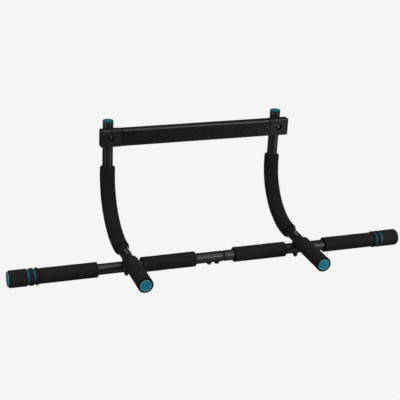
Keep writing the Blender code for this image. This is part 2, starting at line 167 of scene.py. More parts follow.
def rounded(corners, closed=True, steps=ARC_STEPS):
    """An outline whose (distance, radius, fillet) corners are rounded with arcs."""
    points = []
    count = len(corners)
    for index, (distance, radius, fillet) in enumerate(corners):
        here = Vector((distance, radius))
        if fillet == 0 or (not closed and index in (0, count - 1)):
            points.append(here)
            continue
        before = (Vector(corners[index - 1][:2]) - here).normalized()
        after = (Vector(corners[(index + 1) % count][:2]) - here).normalized()
        half = before.angle(after) / 2
        centre = here + (before + after).normalized() * fillet / math.sin(half)
        start = here + before * fillet / math.tan(half) - centre
        end = here + after * fillet / math.tan(half) - centre
        for step in range(steps + 1):
            points.append(centre + turn_towards(start, end, step / steps))
    return points


def refined(points, longest, closed=True):
    """The same outline with no segment longer than longest."""
    fine = []
    count = len(points)
    for index in range(count if closed else count - 1):
        start = points[index]
        end = points[(index + 1) % count]
        pieces = max(1, math.ceil((end - start).length / longest))
        fine += [start.lerp(end, piece / pieces) for piece in range(pieces)]
    if not closed:
        fine.append(points[-1])
    return fine


def ring_outline(near, far, inner, outer, fillet, inner_fillet=0.3 * MM):
    """The closed section of a tube from near to far."""
    return rounded([(near, inner, inner_fillet), (far, inner, inner_fillet),
                    (far, outer, fillet), (near, outer, fillet)])


# ---------------------------------------------------------------- placing

def straight(origin, direction, reference):
    """Carries (distance, radius, angle) to an axis through origin. Angle 0 points along reference."""
    along = np.array(Vector(direction).normalized())
    side = np.array(Vector(reference).normalized())
    other = np.cross(along, side)
    base = np.array(origin)

    def place(distance, radius, angle):
        across = radius[..., None] * (np.cos(angle)[..., None] * side + np.sin(angle)[..., None] * other)
        return base + distance[..., None] * along + across
    return place


def along_bar(side):
    """Distance runs outwards from the middle of the main bar, and angle 90 points up."""
    return straight((0, BAR_Y, BAR_Z), side * X_AXIS, -side * Y_AXIS)


def along_arm(x):
    """Distance runs back along the arm's axis from above the main bar, and up round the bend."""
    def place(distance, radius, angle):
        turn = np.clip((distance - BEND_START) / BEND_R, 0, QUARTER)
        over = distance - BEND_START - turn * BEND_R
        y = BEND_Y + BEND_R * np.sin(turn) + over * np.cos(turn)
        z = BEND_Z - BEND_R * np.cos(turn) + over * np.sin(turn)
        across = radius * np.cos(angle)
        inwards = radius * np.sin(angle)
        return np.stack([x + across, y - inwards * np.sin(turn), z + inwards * np.cos(turn)], -1)
    return place


def on_tube(centre, tube_axis, outward):
    """Carries a flat disc onto a tube: distance is the height above the tube's surface."""
    up = np.array(outward)
    along = np.array(tube_axis)
    side = np.cross(up, along)
    base = np.array(centre)

    def place(distance, radius, angle):
        across = radius * np.sin(angle)
        length = radius * np.cos(angle)
        height = np.sqrt((TUBE_R + distance) ** 2 - across ** 2)
        return base + length[..., None] * along + across[..., None] * side + height[..., None] * up
    return place


def between_tubes(x):
    """Distance 0 lies on the main bar and distance 1 on the arm that crosses it."""
    def place(distance, radius, angle):
        east = radius * np.cos(angle)
        north = radius * np.sin(angle)
        low = BAR_Z + np.sqrt(SLIP_R ** 2 - north ** 2)
        high = ARM_Z - np.sqrt(SLIP_R ** 2 - east ** 2)
        return np.stack([x + east, BAR_Y + north, low + distance * (high - low)], -1)
    return place


# ---------------------------------------------------------------- meshes

def finish_mesh(name, bm, material, sharp=35):
    """Closed, facing outwards and smooth, on the fixed frame."""
    bmesh.ops.recalc_face_normals(bm, faces=bm.faces)
    if bm.calc_volume(signed=True) < 0:
        bmesh.ops.reverse_faces(bm, faces=bm.faces)
    mesh = bpy.data.meshes.new(name)
    bm.to_mesh(mesh)
    bm.free()
    mesh.shade_smooth()
    mesh.set_sharp_from_angle(angle=math.radians(sharp))
    mesh.materials.append(material)
    piece = bpy.data.objects.new(name, mesh)
    bpy.context.scene.collection.objects.link(piece)
    return piece


def turned(name, outline, place, material, steps=ROUND, closed=True, form=None, sharp=35):
    """A solid of revolution from an outline, carried by place. form may change the radius."""
    distance = np.array([point.x for point in outline])
    radius = np.array([point.y for point in outline])
    angle = np.arange(steps) * math.tau / steps
    grid_d = np.repeat(distance[:, None], steps, 1)
    grid_r = np.repeat(radius[:, None], steps, 1)
    grid_a = np.repeat(angle[None, :], len(outline), 0)
    if form:
        grid_r = form(grid_d, grid_r, grid_a)
    points = place(grid_d, grid_r, grid_a)
    bm = bmesh.new()
    rows = []
    for row, axis_radius in zip(points, radius):
        if axis_radius == 0:
            rows.append([bm.verts.new(row[0])] * steps)
        else:
            rows.append([bm.verts.new(point) for point in row])
    pairs = list(zip(rows[:-1], rows[1:]))
    if closed:
        pairs.append((rows[-1], rows[0]))
    for low, high in pairs:
        for i in range(steps):
            j = (i + 1) % steps
            corners = [low[i], low[j], high[j], high[i]]
            bm.faces.new(list(dict.fromkeys(corners)))
    return finish_mesh(name, bm, material, sharp)


def stand_in(piece):
    """The piece takes the place of the CAD node of the same name."""
    node = piece.name.removesuffix("_look")
    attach(piece, "root")
    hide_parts(node)


def cut_with(piece, cutters, operation='DIFFERENCE'):
    """Take the cutters out of the piece, or combine them with it, and apply the result."""
    for cutter in cutters:
        modifier = piece.modifiers.new("cut", 'BOOLEAN')
        modifier.operation = operation
        modifier.solver = 'EXACT'
        modifier.object = cutter
    graph = bpy.context.evaluated_depsgraph_get()
    result = bpy.data.meshes.new_from_object(piece.evaluated_get(graph))
    piece.modifiers.clear()
    piece.data = result
    for cutter in cutters:
        bpy.data.objects.remove(cutter)
    bm = bmesh.new()
    bm.from_mesh(result)
    bmesh.ops.remove_doubles(bm, verts=bm.verts, dist=1e-6)
    bm.to_mesh(result)
    bm.free()
    result.shade_smooth()
    result.set_sharp_from_angle(angle=math.radians(35))


def drill(centre, direction, length, radius=HOLE_R):
    """A round cutter centred on a point."""
    bm = bmesh.new()
    bmesh.ops.create_cone(bm, cap_ends=True, segments=SMALL_ROUND, radius1=radius, radius2=radius,
                          depth=length)
    turn = Z_AXIS.rotation_difference(Vector(direction)).to_matrix().to_4x4()
    bmesh.ops.transform(bm, matrix=Matrix.Translation(centre) @ turn, verts=bm.verts)
    mesh = bpy.data.meshes.new("drill")
    bm.to_mesh(mesh)
    bm.free()
    cutter = bpy.data.objects.new("drill", mesh)
    bpy.context.scene.collection.objects.link(cutter)
    return cutter


# ---------------------------------------------------------------- materials

def new_material(name):
    material = bpy.data.materials.new(name)
    material.use_nodes = True
    return material, material.node_tree, material.node_tree.nodes["Principled BSDF"]


def shader_node(tree, kind, **values):
    """A shader node. A value whose name is an input's sets that input, and others set properties."""
    made = tree.nodes.new(kind)
    for name, value in values.items():
        label = name.replace("_", " ").title()
        if label in made.inputs:
            made.inputs[label].default_value = value
        else:
            setattr(made, name, value)
    return made


def place_noise(tree, scale, detail=3.0, roughness=0.55):
    """Noise in the row frame: scale counts waves in a metre."""
    where = shader_node(tree, "ShaderNodeTexCoord")
    made = shader_node(tree, "ShaderNodeTexNoise", scale=scale, detail=detail, roughness=roughness)
    tree.links.new(where.outputs["Object"], made.inputs["Vector"])
    return made.outputs["Fac"]


def place_cells(tree, scale):
    """The distance to the nearest of many scattered points in the row frame."""
    where = shader_node(tree, "ShaderNodeTexCoord")
    made = shader_node(tree, "ShaderNodeTexVoronoi", scale=scale)
    tree.links.new(where.outputs["Object"], made.inputs["Vector"])
    return made.outputs["Distance"]


def ranged(tree, value, low, high, from_low=0.3, from_high=0.7):
    made = shader_node(tree, "ShaderNodeMapRange")
    made.inputs["From Min"].default_value = from_low
    made.inputs["From Max"].default_value = from_high
    made.inputs["To Min"].default_value = low
    made.inputs["To Max"].default_value = high
    tree.links.new(value, made.inputs["Value"])
    return made.outputs["Result"]


def mixed(tree, share, first, second):
    made = shader_node(tree, "ShaderNodeMix", data_type='RGBA')
    tree.links.new(share, made.inputs[0])
    made.inputs[6].default_value = (*first, 1)
    made.inputs[7].default_value = (*second, 1)
    return made.outputs[2]


def bumped(tree, height, distance, strength=1.0, under=None):
    made = shader_node(tree, "ShaderNodeBump", strength=strength)
    made.inputs["Distance"].default_value = distance
    tree.links.new(height, made.inputs["Height"])
    if under is not None:
        tree.links.new(under, made.inputs["Normal"])
    return made.outputs["Normal"]


def powder_coat():
    """Black powder coat: an orange-peel skin with slight differences in gloss."""
    material, tree, shader = new_material("powder_coat")
    patch = place_noise(tree, 60, 4)
    colour = mixed(tree, ranged(tree, patch, 0, 1), (0.009, 0.009, 0.011), (0.014, 0.0135, 0.017))
    tree.links.new(colour, shader.inputs["Base Color"])
    tree.links.new(ranged(tree, place_noise(tree, 220, 3), 0.30, 0.42), shader.inputs["Roughness"])
    peel = bumped(tree, place_noise(tree, 900, 2, 0.4), 0.05 * MM, 0.5)
    tree.links.new(peel, shader.inputs["Normal"])
    shader.inputs["Specular IOR Level"].default_value = 0.6
    return material


def closed_cell_foam(name="grip_foam", tone=0.0092, specular=0.30, sheen=0.015):
    """Matt closed-cell foam: a skin of fine cells with larger soft blotches."""
    material, tree, shader = new_material(name)
    blotch = place_noise(tree, 110, 5, 0.65)
    cells = place_cells(tree, 1500)
    dark = (tone * 0.75, tone * 0.75, tone * 0.78)
    light = (tone * 1.45, tone * 1.45, tone * 1.48)
    colour = mixed(tree, ranged(tree, blotch, 0, 1), dark, light)
    tree.links.new(colour, shader.inputs["Base Color"])
    tree.links.new(ranged(tree, blotch, 0.78, 0.92), shader.inputs["Roughness"])
    pits = bumped(tree, cells, 0.25 * MM, 0.6)
    skin = bumped(tree, place_noise(tree, 420, 4, 0.6), 0.3 * MM, 0.35, pits)
    tree.links.new(skin, shader.inputs["Normal"])
    shader.inputs["Specular IOR Level"].default_value = specular
    shader.inputs["Sheen Weight"].default_value = sheen
    shader.inputs["Sheen Roughness"].default_value = 0.5
    return material


def moulded(name, low, high, roughness, grain, grain_depth, specular=0.5):
    """Plastic or rubber with a fine grain, also the matt dark materials painted as shade in the joint's neck
    and the counterbores.
    """
    material, tree, shader = new_material(name)
    patch = place_noise(tree, 90, 4, 0.6)
    tree.links.new(mixed(tree, ranged(tree, patch, 0, 1), low, high), shader.inputs["Base Color"])
    spots = place_noise(tree, 260, 3)
    tree.links.new(ranged(tree, spots, roughness - 0.06, roughness + 0.06), shader.inputs["Roughness"])
    skin = bumped(tree, place_noise(tree, grain, 3, 0.5), grain_depth, 0.6)
    tree.links.new(skin, shader.inputs["Normal"])
    shader.inputs["Specular IOR Level"].default_value = specular
    return material


def teal_plastic(name, low, high, roughness, specular):
    return moulded(name, low, high, roughness, 1100, 0.02 * MM, specular)


def black_zinc():
    """Black zinc plating: dark metal, slightly uneven."""
    material, tree, shader = new_material("black_zinc")
    patch = place_noise(tree, 400, 4, 0.6)
    colour = mixed(tree, ranged(tree, patch, 0, 1), (0.120, 0.120, 0.126), (0.175, 0.175, 0.182))
    tree.links.new(colour, shader.inputs["Base Color"])
    tree.links.new(ranged(tree, place_noise(tree, 900, 3), 0.09, 0.16), shader.inputs["Roughness"])
    shader.inputs["Metallic"].default_value = 0.9
    tree.links.new(bumped(tree, patch, 0.03 * MM, 0.4), shader.inputs["Normal"])
    return material


POWDER = powder_coat()
# A darker, matt copy of the powder coat: painted shade for the joint's neck.
NECK_SHADE = moulded("neck_painted_shade", (0.006, 0.006, 0.007), (0.010, 0.010, 0.011), 0.62, 900, 0.03 * MM, 0.3)
FOAM = closed_cell_foam()
# Cut foam ends: darker than the skin for their open cells, and darker still as painted shade in the grips'
# mouths round the caps.
CUT_FOAM_SHADE = closed_cell_foam("cut_foam_shade", 0.0022, 0.1, 0.0)
# The sleeves' foam is a darker copy of the grip foam: painted shade.
SLEEVE_SHADED = closed_cell_foam("sleeve_foam", 0.0056)
BUMPER = closed_cell_foam("bumper_foam", 0.0102)
PAD = moulded("crossbar_rubber", (0.0050, 0.0050, 0.0055), (0.0075, 0.0075, 0.008), 0.31,
              1300, 0.03 * MM, 0.5)
BLOCK = moulded("block_plastic", (0.0055, 0.0055, 0.007), (0.0085, 0.0085, 0.0105), 0.38,
                1600, 0.05 * MM, 0.55)
# A darker copy of the block plastic: painted shade for the inside of the counterbores.
BORE_SHADE = moulded("bore_painted_shade", (0.0010, 0.0010, 0.0012), (0.0018, 0.0018, 0.0021), 0.60,
               1600, 0.05 * MM, 0.15)
TEAL = teal_plastic("teal_plastic", (0.002, 0.215, 0.325), (0.004, 0.255, 0.380), 0.42, 0.35)
# The caps on top of the uprights: a darker copy of the teal plastic, painted shade.
TOP_TEAL_SHADED = teal_plastic("top_teal_painted_shade", (0.002, 0.075, 0.085), (0.003, 0.095, 0.105), 0.48, 0.25)
RING = teal_plastic("ring_teal", (0.002, 0.155, 0.215), (0.004, 0.185, 0.255), 0.42, 0.35)
# A paler, greyer teal for the caps' rims: a painted highlight.
RIM_HIGHLIGHT = teal_plastic("teal_rim_painted_highlight", (0.070, 0.260, 0.285), (0.090, 0.300, 0.325), 0.30, 0.6)
ZINC = black_zinc()


# ---------------------------------------------------------------- foam

FOAM_EDGE = 2.2 * MM
FOAM_SEGMENT = 2.2 * MM
FORMED_DEPTH = 2 * MM
ACROSS_SHARE = 0.8

# Noise along the foam in waves a metre, and round it, for the swells and for the finer ones on them
SWELL_ALONG = 45
SWELL_ROUND = 0.9
FINE_ALONG = 160
FINE_ROUND = 2.6
FINE_SHARE = 0.35

# Creases inside the bend: radians a metre, how far noise shifts them, its scale, and how deep they sit
CREASE_ALONG = 620
CREASE_SHIFT = 2.4
CREASE_SHIFT_SCALE = 1.7
CREASE_SINK = 0.4


def at_turn(along, turn, along_scale, round_scale):
    """A place in the noise for a distance along a piece and an angle round it."""
    return Vector((along * along_scale, math.cos(turn) * round_scale, math.sin(turn) * round_scale))


def foam_form(inner, seed, swell=0.25 * MM, wrinkle=0.0):
    """Small swells over the foam's skin, and creases on the inside of the bend."""
    offset = Vector((seed * 3.7, seed * 1.9, seed * 7.3))

    def form(distance, radius, angle):
        made = radius.copy()
        for index in np.ndindex(radius.shape):
            share = min(1.0, max(0.0, (radius[index] - inner) / FORMED_DEPTH))
            if share == 0:
                continue
            along = distance[index]
            turn = angle[index]
            spot = at_turn(along, turn, SWELL_ALONG, SWELL_ROUND) + offset
            made[index] += share * swell * noise.noise(spot)
            fine = at_turn(along, turn, FINE_ALONG, FINE_ROUND) + offset
            made[index] += share * swell * FINE_SHARE * noise.noise(fine)
            if wrinkle and BEND_START < along < UPRIGHT_START:
                fade = math.sin(math.pi * (along - BEND_START) / BEND_LENGTH)
                inside = max(0.0, math.sin(turn)) ** 2
                shift = CREASE_SHIFT * noise.noise(spot * CREASE_SHIFT_SCALE)
                wave = math.sin(along * CREASE_ALONG + shift)
                made[index] += share * wrinkle * fade * inside * (wave - CREASE_SINK)
        return made
    return form


def foam_tube(name, outline, place, form, skin, ends):
    """A turned foam piece. The outline's runs across its axis, at ends and steps, take another material: on
    the grips a cut-foam material that is darkened further as painted shade.
    """
    piece = turned(name, outline, place, skin, form=form, sharp=60)
    piece.data.materials.append(ends)
    count = len(outline)
    for face in piece.data.polygons:
        start = face.index // ROUND
        run = outline[(start + 1) % count] - outline[start]
        face.material_index = int(abs(run.x) < ACROSS_SHARE * run.length)
    return piece


def foam_sleeve(name, near, far, outer, place, seed, skin, ends, wrinkle=0.0):
    """A plain foam tube that sits on a steel tube."""
    outline = refined(ring_outline(near, far, SLIP_R, outer, FOAM_EDGE, 0.8 * MM), FOAM_SEGMENT)
    return foam_tube(name, outline, place, foam_form(SLIP_R, seed, wrinkle=wrinkle), skin, ends)


def make_bar_foam():
    for side, word in SIDES:
        for number, kind in enumerate(("inner_grip", "outer_grip")):
            near, far, outer = bar_extent(f"{kind}_{word}")
            seed = 3 * number + side
            piece = foam_sleeve(f"{kind}_{word}_look", near, far, outer, along_bar(side), seed,
                                FOAM, CUT_FOAM_SHADE)
            stand_in(piece)


def make_bumpers():
    for side, word in SIDES:
        near, far, outer = bar_extent("end_bumper_" + word)
        groove_r = 15.0 * MM
        corners = [(near, SLIP_R, 0.5 * MM), (far, SLIP_R, 0.5 * MM), (far, outer, 3.0 * MM)]
        grooves = []
        for rank in ("outer", "inner"):
            start, end, ring_r = bar_extent(f"accent_ring_{rank}_{word}")
            grooves.append((start - GAP, end + GAP, ring_r))
        for start, end, _ in grooves:
            corners += [(end, outer, 0.9 * MM), (end, groove_r, 0.2 * MM),
                        (start, groove_r, 0.2 * MM), (start, outer, 0.9 * MM)]
        corners.append((near, outer, 1.2 * MM))
        outline = refined(rounded(corners), 2.5 * MM)
        form = foam_form(groove_r, 11 + side, 0.12 * MM)
        piece = turned(f"end_bumper_{word}_look", outline, along_bar(side), BUMPER, form=form, sharp=60)
        stand_in(piece)
        for rank, (start, end, ring_r) in zip(("outer", "inner"), grooves):
            outline = ring_outline(start + GAP, end - GAP, groove_r + GAP, ring_r, 1.1 * MM, 0.2 * MM)
            ring = turned(f"accent_ring_{rank}_{word}_look", outline, along_bar(side), RING)
            stand_in(ring)


# ---------------------------------------------------------------- tubes

def make_main_tubes():
    left = ring_outline(-SOCKET_END, TUBE_END, BORE_R, TUBE_R, 0.35 * MM, 0.25 * MM)
    spigot_bore = SPIGOT_R - TUBE_WALL
    right = rounded([(TUBE_END, BORE_R, 0.2 * MM), (SHOULDER + TUBE_WALL, BORE_R, 0),
                     (SOCKET_END + GAP, spigot_bore, 0), (SPIGOT_END, spigot_bore, 0.2 * MM),
                     (SPIGOT_END, SPIGOT_R, 0.4 * MM), (SOCKET_END + GAP, SPIGOT_R, 0),
                     (SOCKET_END + 0.8 * MM, NECK_R, 0.2 * MM), (SHOULDER - 1.2 * MM, NECK_R, 0.8 * MM),
                     (SHOULDER, TUBE_R, 0.8 * MM), (TUBE_END, TUBE_R, 0.35 * MM)])
    holes = {"left": [], "right": []}
    for word in ("left", "right"):
        bolt_x = box("joint_bolt_" + word)[2].x
        spot = Vector((bolt_x, BAR_Y, BAR_Z - TUBE_R))
        holes["left"].append((spot, JOINT_HOLE))
        holes["right"].append((spot, JOINT_HOLE))
        side = -1 if word == "left" else 1
        holes[word].append((Vector((side * ARM_X, BAR_Y, BAR_Z)), 3 * TUBE_R))
    for (side, word), outline in zip(SIDES, (left, right)):
        marks = [side * spot.x + way * HOLE_MARK for spot, _ in holes[word] for way in (-1, 1)]
        tube = turned(f"main_tube_{word}_look", with_marks(outline, marks), along_bar(side), POWDER)
        cut_with(tube, [drill(spot, Z_AXIS, length) for spot, length in holes[word]])
        if word == "right":
            paint_neck_shade(tube)
        stand_in(tube)


def paint_neck_shade(tube):
    """The neck and the spigot take a darker, matt material from the shoulder inwards: painted shade in the
    joint's groove.
    """
    tube.data.materials.append(NECK_SHADE)
    for face in tube.data.polygons:
        if SPIGOT_END < face.center.x < SHOULDER - 0.5 * MM:
            face.material_index = 1


def with_marks(outline, marks):
    """Adds points on the outline's long runs at the marked distances, so that a hole stays local."""
    made = []
    count = len(outline)
    for index, start in enumerate(outline):
        end = outline[(index + 1) % count]
        made.append(start)
        low, high = sorted((start.x, end.x))
        inside = [mark for mark in marks if low + MM < mark < high - MM]
        for mark in sorted(inside, reverse=end.x < start.x):
            made.append(start.lerp(end, (mark - start.x) / (end.x - start.x)))
    return made


def make_arms():
    upright_top = box("arm_tube_right")[1].z
    front = BAR_Y - box("arm_tube_right")[0].y
    length = UPRIGHT_START + upright_top - BEND_Z
    cross_distance = UPRIGHT_START + CROSS_MIDDLE.z - BEND_Z
    for side, word in SIDES:
        x = side * ARM_X
        place = along_arm(x)
        outline = ring_outline(-front, length, BORE_R, TUBE_R, 0.35 * MM, 0.25 * MM)
        marks = [-DISH_MARK, DISH_MARK, cross_distance - HOLE_MARK, cross_distance + HOLE_MARK]
        marks += [BEND_START + BEND_LENGTH * step / 40 for step in range(41)]
        tube = turned(f"arm_tube_{word}_look", with_marks(outline, marks), place, POWDER)
        press_recess(tube, x)
        cut_with(tube, [drill((x, BAR_Y, ARM_Z), Z_AXIS, 3 * TUBE_R),
                        drill((x, UPRIGHT_Y, CROSS_MIDDLE.z), Y_AXIS, 3 * TUBE_R)])
        stand_in(tube)

        low, high, _ = box("arm_sleeve_" + word)
        top = UPRIGHT_START + high.z - BEND_Z
        outer = (high.x - low.x) / 2
        sleeve = foam_sleeve(f"arm_sleeve_{word}_look", low.y - BAR_Y, top, outer, place,
                             20 + side, SLEEVE_SHADED, SLEEVE_SHADED, wrinkle=0.28 * MM)
        stand_in(sleeve)

        low, high, _ = box("handle_grip_" + word)
        outer = (high.x - low.x) / 2
        mouth = low.y - BAR_Y
        back = high.y - BAR_Y
        bore = SLIP_R
        step_r = CAP_R + GAP
        outline = rounded([(mouth, step_r, 0.4 * MM), (-front, step_r, 0), (-front, bore, 0),
                           (back, bore, 0.8 * MM), (back, outer, FOAM_EDGE), (mouth, outer, 1.6 * MM)])
        grip = foam_tube(f"handle_grip_{word}_look", refined(outline, FOAM_SEGMENT), place,
                         foam_form(step_r, 30 + side), FOAM, CUT_FOAM_SHADE)
        stand_in(grip)


def press_recess(tube, x):
    """The arm's upper wall is pressed into a dish with a flat floor for the bolt head."""
    place = straight((x, BAR_Y, ARM_Z), Z_AXIS, X_AXIS)
    above = 16 * MM
    mouth_r = RECESS_R + (above - RECESS_FLOOR) * RECESS_SLOPE
    under = RECESS_FLOOR - TUBE_WALL
    wall = rounded([(under, 0, 0), (under, RECESS_R + TUBE_WALL - 0.2 * MM, 1.2 * MM),
                    (above, mouth_r + TUBE_WALL, 0), (above, 0, 0)], closed=False)
    pressed = turned("pressed_wall", wall, place, POWDER, steps=64, closed=False)
    cut_with(pressed, [drill((x, BAR_Y, ARM_Z), Y_AXIS, THROUGH, TUBE_R - 0.05 * MM)], 'INTERSECT')
    cut_with(tube, [pressed], 'UNION')
    recess = rounded([(RECESS_FLOOR, 0, 0), (RECESS_FLOOR, RECESS_R, 0.8 * MM),
                      (above, mouth_r, 0), (above, 0, 0)], closed=False)
    cut_with(tube, [turned("recess", recess, place, POWDER, steps=64, closed=False)])


# ---------------------------------------------------------------- caps

def make_cap(node_name, origin, direction, reference, flange_r, rim, face_r, rim_painted_light):
    """A plug: a slightly crowned dish inside a raised rounded rim, and a hollow shank in the tube. The rim
    takes a painted-light material: a painted highlight on the discs and end caps, painted shade on the top
    caps.
    """
    low, high, _ = box(node_name)
    size = high - low
    depth = abs(size.dot(Vector(direction)))
    crown = 2.7 * MM
    dish = crown - 0.8 * MM
    plug = crown - depth
    plug_r = BORE_R - GAP
    corners = [(dish + 0.35 * MM * (1 - (step / 5) ** 2), face_r * step / 5, 0) for step in range(5)]
    corners += [(dish, face_r, 0.8 * MM), (crown, face_r + 0.7 * MM, 0.4 * MM), (crown, flange_r, rim),
                (GAP, flange_r, 0.25 * MM), (GAP, plug_r, 0.1 * MM), (plug, plug_r, 0.8 * MM),
                (plug, plug_r - 2 * MM, 0.3 * MM), (-3 * MM, plug_r - 2 * MM, 0.4 * MM), (-3 * MM, 0, 0)]
    outline = rounded(corners, closed=False)
    piece = turned(node_name + "_look", outline, straight(origin, direction, reference), TEAL, closed=False,
                   steps=64)
    # The rim's faces beyond face_r take the painted-light material.
    piece.data.materials.append(rim_painted_light)
    for face in piece.data.polygons:
        away = face.center - Vector(origin)
        height = away.dot(Vector(direction))
        face.material_index = int(height > GAP and (away - Vector(direction) * height).length > face_r)
    stand_in(piece)


def make_caps():
    front = box("arm_tube_right")[0].y
    top = box("arm_tube_right")[1].z
    for side, word in SIDES:
        x = side * ARM_X
        bar_r = bar_extent("bar_end_cap_" + word)[2]
        make_cap("bar_end_cap_" + word, (side * TUBE_END, BAR_Y, BAR_Z), side * X_AXIS, Z_AXIS,
                 bar_r, 1.2 * MM, 14.0 * MM, RIM_HIGHLIGHT)
        make_cap("handle_cap_" + word, (x, front, ARM_Z), -Y_AXIS, Z_AXIS, CAP_R, 1.1 * MM, 10.9 * MM, RIM_HIGHLIGHT)
        make_cap("arm_top_cap_" + word, (x, UPRIGHT_Y, top), Z_AXIS, X_AXIS, TUBE_R, 0.9 * MM, 9.6 * MM,
                 TOP_TEAL_SHADED)


# ---------------------------------------------------------------- fasteners

def hexagon(angle):
    """How far a hexagon of apothem 1 reaches at an angle."""
    folded = (angle + math.pi / 6) % (math.pi / 3) - math.pi / 6
    return 1 / np.cos(folded)


def make_washer(node_name, place, radius=WASHER_R):
    outline = refined(ring_outline(GAP, GAP + WASHER_THICK, HOLE_R, radius, 0.3 * MM, 0.2 * MM), 1.2 * MM)
    piece = turned(node_name + "_look", outline, place, ZINC, steps=SMALL_ROUND)
    stand_in(piece)


def turn_fastener(node_name, corners, seat, direction, form):
    outline = rounded(corners, closed=False)
    piece = turned(node_name + "_look", outline, straight(seat, direction, X_AXIS), ZINC,
                   steps=SMALL_ROUND, closed=False, form=form)
    stand_in(piece)


def make_bolt(node_name, seat, direction):
    """A button head with a hexagon socket, above a threaded shank."""
    low, high, _ = box(node_name)
    size = high - low
    shank = abs(size.dot(Vector(direction))) - BOLT_HEAD
    head_r = sorted(size)[0] / 2
    socket_r = 2.0 * MM
    socket_depth = 2.2 * MM
    rim = 0.9 * MM
    corners = [(BOLT_HEAD - socket_depth, 0, 0), (BOLT_HEAD - socket_depth, socket_r, 0),
               (BOLT_HEAD - 0.35 * MM, socket_r, 0), (BOLT_HEAD, socket_r + 0.4 * MM, 0)]
    for step in range(1, 8):
        angle = QUARTER * step / 8
        radius = socket_r + 0.4 * MM + (head_r - socket_r - 0.4 * MM) * math.sin(angle)
        corners.append((rim + (BOLT_HEAD - rim) * math.cos(angle), radius, 0))
    corners += [(rim, head_r, 0), (0, head_r, 0.25 * MM), (0, SHANK_R, 0)]
    pitch = MM
    thread_depth = 0.45 * MM
    threads = int((shank - 2 * pitch) / pitch)
    for turn in range(threads):
        start = -pitch - turn * pitch
        corners += [(start, SHANK_R, 0), (start - 0.5 * pitch, SHANK_R - thread_depth, 0)]
    corners += [(-shank + 0.6 * MM, SHANK_R, 0), (-shank, SHANK_R - 0.6 * MM, 0), (-shank, 0, 0)]

    def form(distance, radius, angle):
        in_socket = (distance > 0) & (radius <= socket_r + 0.01 * MM)
        return np.where(in_socket, radius * hexagon(angle), radius)
    turn_fastener(node_name, corners, seat, direction, form)


def make_nut(node_name, seat, direction):
    """A hexagon nut with a cap dome: direction points from the seat to the dome's tip."""
    height = 4.5 * MM
    dome_r = 4.6 * MM
    hole_depth = 6.0 * MM
    corner_r = NUT_APOTHEM / math.cos(math.pi / 6)
    tip = height + 4.2 * MM
    corners = [(hole_depth, 0, 0), (hole_depth, HOLE_R, 0), (0.5 * MM, HOLE_R, 0), (0, HOLE_R + 0.5 * MM, 0),
               (0, NUT_APOTHEM, 0), (0.45 * MM, corner_r, 0), (height - 0.5 * MM, corner_r, 0),
               (height, NUT_APOTHEM - 0.1 * MM, 0), (height, dome_r, 0.3 * MM)]
    for step in range(1, 9):
        angle = QUARTER * step / 9
        corners.append((height + (tip - height) * math.sin(angle), dome_r * math.cos(angle), 0))
    corners.append((tip, 0, 0))

    def form(distance, radius, angle):
        return np.minimum(radius, NUT_APOTHEM * hexagon(angle))
    turn_fastener(node_name, corners, seat, direction, form)


def make_fasteners():
    for side, word in SIDES:
        x = side * ARM_X
        bolt_x = box("joint_bolt_" + word)[2].x
        joint = Vector((bolt_x, BAR_Y, BAR_Z))
        low = Vector((x, BAR_Y, BAR_Z))
        high = Vector((x, BAR_Y, ARM_Z + RECESS_FLOOR))
        upright = Vector((x, UPRIGHT_Y, CROSS_MIDDLE.z))
        make_washer("joint_washer_" + word, on_tube(joint, X_AXIS, -Z_AXIS))
        make_bolt("joint_bolt_" + word, joint - Z_AXIS * SEAT_R, -Z_AXIS)
        make_washer("arm_bolt_washer_" + word, straight(high, Z_AXIS, X_AXIS), RECESS_WASHER_R)
        make_bolt("arm_bolt_" + word, high + Z_AXIS * BOLT_SEAT, Z_AXIS)
        make_washer("arm_nut_washer_" + word, on_tube(low, X_AXIS, -Z_AXIS))
        make_nut("arm_nut_" + word, low - Z_AXIS * SEAT_R, -Z_AXIS)
        make_washer("crossbar_washer_" + word, on_tube(upright, Z_AXIS, Y_AXIS))
        make_nut("crossbar_nut_" + word, upright + Y_AXIS * SEAT_R, Y_AXIS)
        bolt_seat = Vector((x, box("crossbar_bolt_" + word)[0].y + BOLT_HEAD, CROSS_MIDDLE.z))
        make_bolt("crossbar_bolt_" + word, bolt_seat, -Y_AXIS)
        saddle = refined(rounded([(0, 4.5 * MM, 0), (1, 4.5 * MM, 0), (1, 10.5 * MM, 0), (0, 10.5 * MM, 0)]),
                         0.25)
        piece = turned(f"arm_saddle_{word}_look", saddle, between_tubes(x), BLOCK, steps=SMALL_ROUND)
        stand_in(piece)


# ---------------------------------------------------------------- crossbar

def section_ring(half_depth, half_height, corner, steps=8, sides=6):
    """A rounded rectangle in (y, z), with the same number of points whatever its size."""
    middles = ((1, 1), (-1, 1), (-1, -1), (1, -1))
    points = []
    for quarter, (y, z) in enumerate(middles):
        centre = Vector((y * (half_depth - corner), z * (half_height - corner)))
        for step in range(steps + 1):
            angle = QUARTER * (quarter + step / steps)
            points.append(centre + corner * Vector((math.cos(angle), math.sin(angle))))
    fine = []
    for index, start in enumerate(points):
        end = points[(index + 1) % len(points)]
        fine.append(start)
        if index % (steps + 1) == steps:
            fine += [start.lerp(end, side / sides) for side in range(1, sides)]
    return fine


